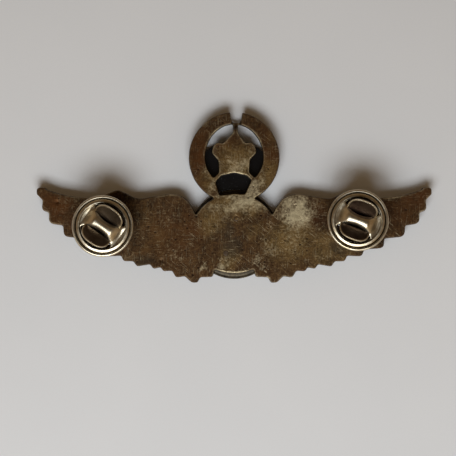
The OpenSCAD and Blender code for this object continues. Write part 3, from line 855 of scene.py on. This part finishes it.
def ground_outline():
    """Edge of the ground: inside the wreath, under an arc and clear of the medallion."""
    circle = np.array(arc(GROUND_AT, GROUND_R, 0, 360, 240)[:-1])
    ring = np.array([0, WREATH_Y])
    away = circle - ring
    reach = np.linalg.norm(away, axis=1)
    circle = ring + away * (np.minimum(reach, GROUND_LIMIT_R) / reach)[:, None]
    clear = MEDAL_R + MEDAL_GAP
    rise = MEDAL_AT[1] + np.sqrt(np.clip(clear ** 2 - circle[:, 0] ** 2, 0, None))
    circle[:, 1] = np.maximum(circle[:, 1], rise)
    return even(circle, GROUND_STEP)


def ground_mesh():
    """The ground as a closed sheet. Returns its points, its faces and how many are on the black side."""
    outline = ground_outline()
    flat, _, black, _ = fill([outline], 2 * GROUND_STEP, [0.03])
    low, high = GROUND_Z
    top = high - 0.03 * noise(*flat.T, 1.4, 71)
    bottom = low + 0.06 * noise(*flat.T, 0.8, 72)
    points = np.vstack([np.column_stack([flat, top]), np.column_stack([flat, bottom])])
    faces = black + underside(black, len(flat)) + wall_faces([0, len(flat)], [outline])
    return points, faces, len(black)


def paint_plate(obj, points, count, gap, phase, depth):
    """Where the patina is worn, rusty, olive or dirty, with painted shade and painted edge highlights, kept
    with the mesh for the material.
    """
    x, y, z = points.T
    number = np.arange(len(points))
    back, front = number < count, (number >= count) & (number < 2 * count)
    gaps, phases, depths = np.zeros((3, len(points)))
    gaps[:count], gaps[front], phases[front], depths[front] = gap, gap, phase, depth
    worn = patches(x, y, WORN_PATCHES) * (0.75 + 0.5 * noise(x, y, 0.8, 42))
    worn = np.maximum(worn, strokes(x, y, STROKES) * (0.5 + 0.8 * noise(x, y, 0.5, 43)))
    # A bright line along the back's edges: wear, and a painted highlight where the edges catch the light
    rim = np.exp(-(gaps / RIM_WEAR_AND_GLINT_LINE) ** 2) * (0.04 + patches(x, y, EDGE_WEAR_AND_GLINT_PATCHES))
    rim = np.clip(rim * (0.5 + noise(x, y, 1.1, 41)), 0, 1)
    high = smoothstep(FRONT_Z - z, 0.25, 0.85)
    # The dark coat's value: dirt and painted clutch shadow on the back, dirt in the hollows of the front, and
    # painted shade on the walls at 0.8
    for name, on_back, elsewhere in (
            ("worn", worn, np.where(front, 0.62 * high, 0)), ("edge", rim, 0),
            ("rust", patches(x, y, RUST_PATCHES), 0.25), ("olive", patches(x, y, OLIVE_PATCHES), 0.4),
            ("slate", patches(x, y, SLATE_PATCHES), 0),
            ("grime_and_shade", patches(x, y, GRIME_AND_SHADOW_PATCHES), np.where(front, 0.5 - 0.5 * high, 0.8))):
        store(obj, name, np.where(back, on_back, elsewhere))
    store(obj, "barb_phase", phases)
    store(obj, "barb_depth", depths)


# ---- medallion and rivets ----

MEDAL_RIM = 0.9
MEDAL_FIELD_Z = 0.5
MEDAL_STEPS = 448
# Section of the medallion's back beside its edge, as distances from the edge and from the top
MEDAL_LIP = ((0, 0.10), (0.02, 0.04), (0.07, 0), (0.22, 0.01), (0.32, 0.07), (0.55, 0.08), (0.66, 0.02),
             (0.78, 0))
MEDAL_LIP_RUBBED = (0.12, 0.62)
MEDAL_RING_R = 6.35
BEADS = 56
TICKS = 32
HUB_R = 1.2
# The compass rose's two stars of four points: turn, outer and inner radius, lift
COMPASS_STARS = ((TAU / 8, 3.9, 1.15, 0.20), (0, 5.8, 1.25, 0.36))


def compass_height(radius, angle):
    """Relief of an eight-point compass rose over its field."""
    height = np.zeros(radius.shape)
    for turn, outer, inner, lift in COMPASS_STARS:
        body = np.clip(1 - radius / star_reach(angle + turn, 4, outer, inner), 0, 1)
        facet = 0.55 + 0.45 * np.sign(np.sin((angle + turn) * 4))
        height = np.maximum(height, lift * (0.25 * (body > 0) + 0.75 * body) * (0.8 + 0.2 * facet))
    return height


def medal_height(radius, angle):
    """How far the medallion's face stands above its field."""
    edge = MEDAL_R - MEDAL_RIM
    height = compass_height(radius, angle)
    ring = np.exp(-((radius - MEDAL_RING_R) / 0.16) ** 2) * 0.12
    ticks = (np.cos(angle * TICKS) > 0.55) & (radius > MEDAL_RING_R + 0.15) & (radius < edge - 0.1)
    hub = 0.42 * np.sqrt(np.clip(1 - (radius / HUB_R) ** 2, 0, 1))
    height = np.maximum.reduce([height, ring, 0.08 * ticks, hub])
    rim = smoothstep(radius, edge - 0.12, edge + 0.08)
    bead = np.sqrt(np.clip(1 - ((radius - edge - 0.42) / 0.3) ** 2, 0, 1))
    bead *= 0.5 + 0.5 * np.abs(np.cos(angle * BEADS / 2))
    return height * (1 - rim) + (0.38 + 0.10 * bead) * rim


def make_medallion(material):
    """The round medallion, face down: rim, beads and a compass rose on its front."""
    top = MEDAL_HIGH[2]
    radii = np.concatenate([np.linspace(0.12, MEDAL_R - 0.12, 88), [MEDAL_R - 0.05, MEDAL_R - 0.01]])
    profile = [(0, 0)] + [(r, 0) for r in radii] + [(MEDAL_R, 0.14), (MEDAL_R, 0.6)]
    profile += [(MEDAL_R - inset, top - drop) for inset, drop in MEDAL_LIP]
    profile += [(MEDAL_R * 0.6, top), (0, top)]
    points, faces = revolve(profile, MEDAL_STEPS)
    shown = 1 + len(radii) * MEDAL_STEPS
    radius, angle = np.hypot(points[:, 0], points[:, 1]), np.arctan2(points[:, 1], points[:, 0])
    lift = medal_height(radius[:shown], angle[:shown])
    drop = rounded_drop(MEDAL_R - radius[:shown], 0.14)
    points[:shown, 2] = np.maximum(MEDAL_FIELD_Z - lift + drop, 0.0)
    high = np.zeros(len(points))
    high[:shown] = smoothstep(lift, 0.06, 0.42)
    for inset in MEDAL_LIP_RUBBED:
        line = 0.32 * np.exp(-((radius[shown:] - MEDAL_R + inset) / 0.06) ** 2)
        high[shown:] = np.maximum(high[shown:], line)
    high[shown:] *= np.where(points[shown:, 2] > top - 0.2, 1, 0.3)
    turned = points + [MEDAL_AT[0], MEDAL_AT[1], 0]
    obj = make_piece("medallion_disc", turned, [f[::-1] for f in faces], "badge", material,
                     "medallion")
    store(obj, "high", high)


def make_rivet(which, material):
    """A rivet's peened end, flush with the back."""
    low, high = box_mm(f"{which}_rivet")
    radius, top = (high[0] - low[0]) / 2, high[2]
    profile = [(0, low[2]), (radius * 0.9, low[2]), (radius, low[2] + 0.05), (radius, top - 0.08)]
    profile += arc((radius - 0.05, top - 0.08), 0.05, 0, 80, 4)
    profile += [(radius * 0.6, top - 0.025), (radius * 0.25, top - 0.04), (0, top - 0.045)]
    points, faces = revolve(profile, 40)
    dent = 0.03 * noise(points[:, 0] * 3 + 9, points[:, 1] * 3, 0.9, 51)
    points[:, 2] -= np.where(points[:, 2] > top - 0.15, dent, 0)
    points[:, :2] += middle(f"{which}_rivet")[:2]
    make_piece(f"{which}_rivet_end", points, faces, "badge", material, f"{which}_rivet")


# ---- posts and solder ----

POST_R = 0.6
COLLAR_R = 0.85
# Grooves by their lower and upper end, and half a groove's section: depth, distance from its end
GROOVES = ((3.0, 3.6), (4.55, 5.15))
GROOVE_SECTION = ((0, -0.06), (0.02, 0), (0.17, 0.13), (0.2, 0.2))


def make_post(side, material):
    """Headed post with two grooves and a ground point."""
    low, high = box_mm(f"{side}_post")
    centre, head = middle(f"{side}_post"), (high[0] - low[0]) / 2
    foot, tip = low[2] - BACK_Z, high[2] - BACK_Z
    profile = [(0, foot), (head - 0.05, foot), (head, foot + 0.05), (head, -0.06), (head - 0.05, -0.01)]
    profile += [(COLLAR_R, 0), (COLLAR_R, 0.6), (COLLAR_R - 0.05, 0.68), (POST_R, 0.7)]
    for z0, z1 in GROOVES:
        profile += [(POST_R - deep, z0 + up) for deep, up in GROOVE_SECTION]
        profile += [(POST_R - deep, z1 - down) for deep, down in reversed(GROOVE_SECTION)]
    profile += [(POST_R, tip - 0.65), (POST_R - 0.05, tip - 0.5), (0.2, tip - 0.08), (0.1, tip - 0.02),
                (0, tip)]
    points, faces = revolve(profile, 48)
    points += [centre[0], centre[1], BACK_Z]
    make_piece(f"{side}_post_nail", points, faces, "badge", material, f"{side}_post")


def make_solder(side, material):
    """Lumpy fillet of solder round the foot of a post."""
    centre, steps = middle(f"{side}_solder"), 72
    outer = box_mm(f"{side}_solder")[1][0] - centre[0]
    profile = [(0.86, -0.02), (0.86, 0.68), (0.9, 0.66), (0.97, 0.5), (1.05, 0.36), (1.2, 0.2), (1.36, 0.09),
               (outer - 0.06, 0.02), (outer, -0.03), (outer - 0.05, -0.1)]
    points, faces = revolve(profile, steps, closed=True)
    angle = np.arctan2(points[:, 1], points[:, 0])
    lumps = noise(np.cos(angle) * 2 + 5, np.sin(angle) * 2 + (3 if side == "left" else 9), 0.8, 61) - 0.5
    free = (points[:, 2] > -0.02) & (np.hypot(points[:, 0], points[:, 1]) > 0.88)
    points[free, 2] *= 1 + 0.35 * lumps[free]
    points[:, 2] = np.minimum(points[:, 2], 0.69)
    points += [centre[0], centre[1], BACK_Z]
    make_piece(f"{side}_solder_fillet", points, faces, "badge", material, f"{side}_solder")


# ---- clutches: u runs along the ridge, v across it, z up from the cup's underside ----

def clutch_place(side):
    """The clutch's origin and the angle of its ridge."""
    low, high = box_mm(f"{side}_cup")
    joint = next(j for j in frame["joints"] if j["name"] == f"{side}_ear_a_pinch")
    origin = np.array([(low[0] + high[0]) / 2, (low[1] + high[1]) / 2, low[2]])
    return origin, math.atan2(joint["axis"][1], joint["axis"][0])


def placed(points, origin, turn):
    u, v, z = np.asarray(points, float).T
    c, s = math.cos(turn), math.sin(turn)
    return np.column_stack([u * c - v * s, u * s + v * c, z]) + origin


CUP_R = 5.8
WALL_R = 5.7
CURL_R = 0.3
CURL_Z = 2.35
SHEET = 0.28


def make_cup(side, material):
    """The cup: drawn sheet with a rolled rim and a boss round its bore."""
    origin, turn = clutch_place(side)
    profile = [(0.66, 0.02), (0.72, 0.0), (1.6, 0.0), (3.2, 0.0), (4.7, 0.0)]
    profile += arc((WALL_R - 0.8, 0.8), 0.8, -90, 0, 8)
    profile += [(WALL_R, 1.3), (WALL_R, 1.9), (WALL_R - 0.01, 2.04)]
    profile += [(WALL_R + 0.02, 2.13), (WALL_R + 0.07, 2.22)]
    profile += arc((CUP_R - CURL_R, CURL_Z), CURL_R, -12, 235, 22)
    profile += [(WALL_R - 0.33, 2.06), (WALL_R - SHEET, 1.9), (WALL_R - SHEET, 0.85)]
    profile += arc((WALL_R - 0.8, 0.8), 0.52, 0, -90, 6)
    profile += [(3.0, SHEET), (1.3, SHEET), (1.08, 0.33), (0.95, 0.46), (0.9, 0.7), (0.86, 0.75), (0.7, 0.75),
                (0.66, 0.72)]
    points, faces = revolve(profile, 160, closed=True)
    angle = np.arctan2(points[:, 1], points[:, 0])
    outer = smoothstep(np.hypot(points[:, 0], points[:, 1]), 4.9, 5.4)
    wobble = 0.012 * np.sin(3 * angle + 1) + 0.008 * np.sin(7 * angle)
    points[:, 2] += outer * (wobble - 0.02) * (points[:, 2] > 1)
    radius = np.hypot(points[:, 0], points[:, 1])
    # Painted shade inside the cup and on the inner half of its rolled rim
    hollow = (radius < WALL_R - SHEET + 0.05) & (points[:, 2] > SHEET - 0.05) & (points[:, 2] < 2.1)
    curl = 0.6 * (1 - smoothstep(radius, 5.42, 5.56)) * (points[:, 2] > 2.0)
    points = placed(points, origin, turn)
    obj = make_piece(f"{side}_cup_shell", points, faces, f"{side}_base", material, f"{side}_cup")
    store(obj, "painted_shade", np.maximum(hollow, curl))


DISH_TOP = 1.88
# Rim of the cap in section, from the dish outwards: a rounded lip, a broad outward slope, the skirt
CAP_RIM = [(4.31, 2.24), (4.33, 2.45), (4.37, 2.62), (4.43, 2.71), (4.50, 2.745), (4.60, 2.735),
           (4.72, 2.70), (4.84, 2.662), (4.94, 2.625), (5.01, 2.57), (5.06, 2.49), (5.09, 2.38),
           (5.10, 2.2), (5.10, 1.7), (5.10, 1.1)]
# Section of the bar, as shares: across from its middle, height
BAR_SECTION = ((0, 1), (0.2, 0.98), (0.4, 0.925), (0.6, 0.82), (0.78, 0.64), (0.92, 0.36), (1.0, 0.0),
               (2.0, 0.0))
WINDOW_R = 4.2
WINDOW_V = 1.05
WINDOW_BOW_R = 5.5
RIDGE_R = 1.1
RIDGE_Z = 2.3
DISH_R = 4.3
CAP_SHEET = 0.2
CAP_STEPS = 160
CAP_STEP = 0.08


def window_loop(sign):
    """Outline of one D window, clockwise: an arc of the dish and a flatter bow beside the ridge."""
    bow_v = WINDOW_V + WINDOW_BOW_R
    corner_v = (bow_v ** 2 + WINDOW_R ** 2 - WINDOW_BOW_R ** 2) / (2 * bow_v)
    corner_u = math.sqrt(WINDOW_R ** 2 - corner_v ** 2)
    start = math.degrees(math.atan2(corner_v, corner_u))
    turn = math.degrees(math.atan2(bow_v - corner_v, corner_u))
    outer = arc((0, 0), WINDOW_R, start, 180 - start, 40)
    inner = arc((0, bow_v), WINDOW_BOW_R, turn - 180, -turn, 30)[1:-1]
    loop = soften(even(np.array(outer + inner), 0.12), 14)
    loop = loop * [1, sign]
    return loop[::-1] if sign > 0 else loop


def bar_section(t):
    """Height of the bar's section at this share of its half width, with its corners eased."""
    across, height = zip(*BAR_SECTION)
    return np.mean([np.interp(np.abs(t + d), across, height) for d in np.linspace(-0.07, 0.07, 7)], axis=0)


def cap_height(u, v):
    """Top of the dish, with the crowned bar between the windows that hides the post's point."""
    r = np.hypot(u, v)
    dish = DISH_TOP + 0.26 * smoothstep(r, 3.3, 4.3)
    u = np.abs(u)
    half = WINDOW_V + WINDOW_BOW_R - np.sqrt(WINDOW_BOW_R ** 2 - np.minimum(u, 4.2) ** 2) + 0.14
    rise = (RIDGE_Z + RIDGE_R - DISH_TOP - 0.04) * (1 - smoothstep(u, 1.7, 4.35)) - 0.012 * u * u
    return dish + np.maximum(rise, 0) * bar_section(v / half)


def make_cap(side, material):
    """The cap: bead, dish, two windows and the ridge, drawn from one sheet."""
    origin, turn = clutch_place(side)
    ring = np.array(arc((0, 0), DISH_R, 0, 360, CAP_STEPS)[:-1])
    flat, gap, triangles, _ = fill([ring, window_loop(1), window_loop(-1)], CAP_STEP, [0.06])
    cut = rounded_drop(gap, 0.1) * (np.hypot(*flat.T) < WINDOW_R + 0.02)
    layers = [np.column_stack([flat, cap_height(*flat.T) - cut])]
    layers += [np.column_stack([ring * (r / DISH_R), np.full(CAP_STEPS, z)]) for r, z in CAP_RIM]
    starts = [0] + [len(flat) + k * CAP_STEPS for k in range(len(CAP_RIM))]
    faces = triangles + wall_faces(starts, [ring])
    points = np.vstack(layers)
    radius = np.hypot(points[:, 0], points[:, 1])
    # Painted shade on the inner edge of the cap's rim beside the dish
    lip = (radius > DISH_R - 0.02) * (1 - smoothstep(radius, 4.40, 4.56))
    obj = make_piece(f"{side}_cap_dish", placed(points, origin, turn), faces, f"{side}_head", material,
                     f"{side}_cap")
    store(obj, "painted_shade", 0.45 * lip)
    thicken(obj, CAP_SHEET, 0.05)


def thicken(obj, sheet_mm, edge_mm):
    """Gives a sheet its thickness below the surface, and rounds its cut edges."""
    solid = obj.modifiers.new("sheet", "SOLIDIFY")
    solid.thickness, solid.offset = sheet_mm * MM, -1
    bevel = obj.modifiers.new("edge", "BEVEL")
    bevel.width, bevel.segments = edge_mm * MM, 2
    bevel.limit_method, bevel.angle_limit = "ANGLE", math.radians(50)


EAR_V = 1.45
EAR_Z = 2.3
EAR_LEAN = math.radians(45)
EAR_H = 3.3
EAR_HALF = 2.9
JAW_HALF = 1.5
JAW_Z = 1.24
JAW_V = 0.68
BEND_R = 0.25
# How dark the painted shade on the ears' faces is
EAR_SHADE = {"left": 0.93, "right": 1.0}


def ear_outline():
    """Flat pattern of an ear with its web and jaw: a across, s up from the root."""
    web, jaw = EAR_Z - JAW_Z, EAR_V - JAW_V
    low = -(web + jaw) + 0.15
    half = [(0, low), (JAW_HALF - 0.1, low), (JAW_HALF, low + 0.1), (JAW_HALF, -0.25),
            (JAW_HALF + 0.15, -0.1), (EAR_HALF - 0.25, -0.1), (EAR_HALF, 0.1), (EAR_HALF, EAR_H * 0.33)]
    for t in np.linspace(0, TAU / 4, 15)[1:]:
        half.append((EAR_HALF * max(math.cos(t), 0) ** 0.75, EAR_H * (0.33 + 0.67 * math.sin(t))))
    right = np.array(half)
    left = right[1:-1][::-1] * [-1, 1]
    return soften(even(np.vstack([right, left]), 0.12), 3)


def ear_path(s):
    """Place (v, z) and sideways direction of the bent strip at this height of its flat pattern."""
    web = EAR_Z - JAW_Z
    v = np.where(s > 0, EAR_V + s * math.sin(EAR_LEAN), np.where(s > -web, EAR_V, EAR_V + (s + web)))
    z = np.where(s > 0, EAR_Z + s * math.cos(EAR_LEAN), np.where(s > -web, EAR_Z + s, JAW_Z))
    return v, z


def bent(s):
    """The strip's path with its bends rounded."""
    spread = np.linspace(-BEND_R, BEND_R, 9)
    v, z = ear_path(np.asarray(s)[:, None] + spread)
    return v.mean(1), z.mean(1)


def make_ear(side, which, material):
    """A butterfly ear: dished D, narrower web and jaw, bent from one strip."""
    origin, turn = clutch_place(side)
    outline = ear_outline()
    flat, gap, triangles, _ = fill([outline], 0.16, [0.06])
    a, s = flat.T
    v, z = bent(s)
    v1, z1 = bent(s + 0.01)
    dv, dz = v1 - v, z1 - z
    size = np.hypot(dv, dz)
    nv, nz = dz / size, -dv / size
    up = smoothstep(s, 0, 1.2)
    dish = up * (0.20 * (a / EAR_HALF) ** 2 + 0.05 * ((s - 1.6) / 1.6) ** 2 - 0.06)
    v, z = v - nv * dish, z - nz * dish
    points = np.column_stack([a, v - nv * SHEET / 2, z - nz * SHEET / 2])
    points = placed(points, origin, turn + (math.pi if which == "b" else 0))
    obj = make_piece(f"{side}_ear_{which}_flap", points, triangles, f"{side}_wing_{which}", material,
                     f"{side}_ear_{which}")
    # Painted shade on the ear's face and web, with its rim left bright
    store(obj, "painted_shade", EAR_SHADE[side] * np.where(s < 0.25, 1, smoothstep(gap, 0.08, 0.28)))
    thicken(obj, SHEET, 0.09)


WIRE_STEPS = 14


def make_spring(side, material):
    """Ring spring of round wire, drawn out to a long oval."""
    origin, turn = clutch_place(side)
    low, high = box_mm(f"{side}_spring")
    wire = (high[2] - low[2]) / 2
    height, half, bend = (low[2] + high[2]) / 2 - origin[2], 2.6, 2.1
    straight, around = np.linspace(-half, half, 13), np.linspace(-1.4, 1.4, 19)
    path = [(u, -bend) for u in straight]
    path += [(half + bend * math.cos(t), bend * math.sin(t)) for t in around]
    path = np.array(path + [(-u, -v) for u, v in path])
    path = soften(even(path, 0.2), 3)
    points, faces, count = [], [], len(path)
    for p, n in zip(path, inward(path)):
        for t in TAU * np.arange(WIRE_STEPS) / WIRE_STEPS:
            points.append((*(p + n * wire * math.cos(t)), height + wire * math.sin(t)))
    for i in range(count):
        a, b = i * WIRE_STEPS, (i + 1) % count * WIRE_STEPS
        for k in range(WIRE_STEPS):
            m = (k + 1) % WIRE_STEPS
            faces.append((a + k, a + m, b + m, b + k))
    make_piece(f"{side}_spring_wire", placed(points, origin, turn), faces, f"{side}_head", material,
               f"{side}_spring")


# ---- stage, light and camera ----

VIEW_AT = (-1.19, -5.86)
VIEW_HEIGHT = 300
VIEW_WIDTH = 87.64
SENSOR = 36
FLOOR_HALF = 900
LIGHT_ELEVATION = 54.5
LIGHT_DISTANCE = 420
LIGHT_SIZE = 185
LIGHT_COLOUR = (0.950, 1.0, 1.055)
# Colours of the room by height, and what the window's side adds
ROOM = [(0.0, (0.30, 0.19, 0.10)), (0.3, (0.33, 0.24, 0.150)), (0.5, (0.21, 0.14, 0.078)),
        (0.72, (0.12, 0.076, 0.038)), (0.9, (0.080, 0.055, 0.031)), (1.0, (0.056, 0.041, 0.026))]
WINDOW = [(0.0, (0, 0, 0)), (0.4, (0.02, 0.016, 0.011)), (0.75, (0.19, 0.16, 0.115)),
          (1.0, (0.31, 0.27, 0.21))]


def make_floor(material):
    half = FLOOR_HALF * MM
    mesh = bpy.data.meshes.new("floor")
    mesh.from_pydata([(-half, -half, 0), (half, -half, 0), (half, half, 0), (-half, half, 0)], [],
                     [(0, 1, 2, 3)])
    mesh.materials.append(material)
    obj = bpy.data.objects.new("floor", mesh)
    bpy.context.scene.collection.objects.link(obj)


def make_camera():
    camera = bpy.data.cameras.new("camera")
    camera.sensor_width = SENSOR
    camera.lens = SENSOR * (VIEW_HEIGHT - BACK_Z) / VIEW_WIDTH
    camera.clip_start, camera.clip_end = 0.01, 10
    obj = bpy.data.objects.new("camera", camera)
    obj.location = (VIEW_AT[0] * MM, VIEW_AT[1] * MM, VIEW_HEIGHT * MM)
    bpy.context.scene.collection.objects.link(obj)
    bpy.context.scene.camera = obj


def make_light(name, azimuth, power):
    """A soft square light that looks at the object. Azimuth 0 stands on the -Y side."""
    light = bpy.data.lights.new(name, "AREA")
    light.size = LIGHT_SIZE * MM
    light.energy, light.color = power, LIGHT_COLOUR
    a, e = math.radians(azimuth), math.radians(LIGHT_ELEVATION)
    toward = Vector((math.sin(a) * math.cos(e), -math.cos(a) * math.cos(e), math.sin(e)))
    obj = bpy.data.objects.new(name, light)
    obj.location = toward * LIGHT_DISTANCE * MM
    obj.rotation_mode = "QUATERNION"
    obj.rotation_quaternion = toward.to_track_quat("Z", "Y")
    bpy.context.scene.collection.objects.link(obj)


def colour_ramp(tree, value, stops):
    node = add_node(tree, "ValToRGB", {0: value})
    elements = node.color_ramp.elements
    while len(elements) < len(stops):
        elements.new(0.5)
    for element, (at, colour) in zip(elements, stops):
        element.position, element.color = at, (*colour, 1)
    return node.outputs[0]


def make_world():
    """A dim warm room: dark overhead, paler walls, and the window's side brighter."""
    world = bpy.data.worlds.new("room")
    bpy.context.scene.world = world
    world.use_nodes = True
    tree = world.node_tree
    tree.nodes.clear()
    split = add_node(tree, "SeparateXYZ", {0: add_node(tree, "TexCoord").outputs["Generated"]})
    side = add_node(tree, "Math", {0: split.outputs["Y"], 1: -1}, operation="MULTIPLY")
    room = colour_ramp(tree, split.outputs["Z"], ROOM)
    window = colour_ramp(tree, side.outputs[0], WINDOW)
    mix = add_node(tree, "Mix", {0: 1, 6: room, 7: window}, data_type="RGBA", blend_type="ADD")
    back = add_node(tree, "Background", {0: mix.outputs[2]})
    add_node(tree, "OutputWorld", {0: back.outputs[0]})


def make_stage():
    make_floor(paper_material())
    make_camera()
    make_world()
    make_light("window_left", -24, 0.745)
    make_light("window_right", 8, 0.62)
    bpy.context.scene.view_settings.view_transform = "Standard"


# ---- everything ----

def main():
    make_stage()
    nickel = nickel_material()
    rivet, post, solder, wire = (plain_metal(name) for name in METALS)
    make_plate(patina_material(), ground_shade_material())
    make_medallion(medal_material())
    for which in RIVETS:
        make_rivet(which, rivet)
    for side in SIDES:
        make_post(side, post)
        make_solder(side, solder)
        make_cup(side, nickel)
        make_cap(side, nickel)
        for which in ("a", "b"):
            make_ear(side, which, nickel)
        make_spring(side, wire)


main()
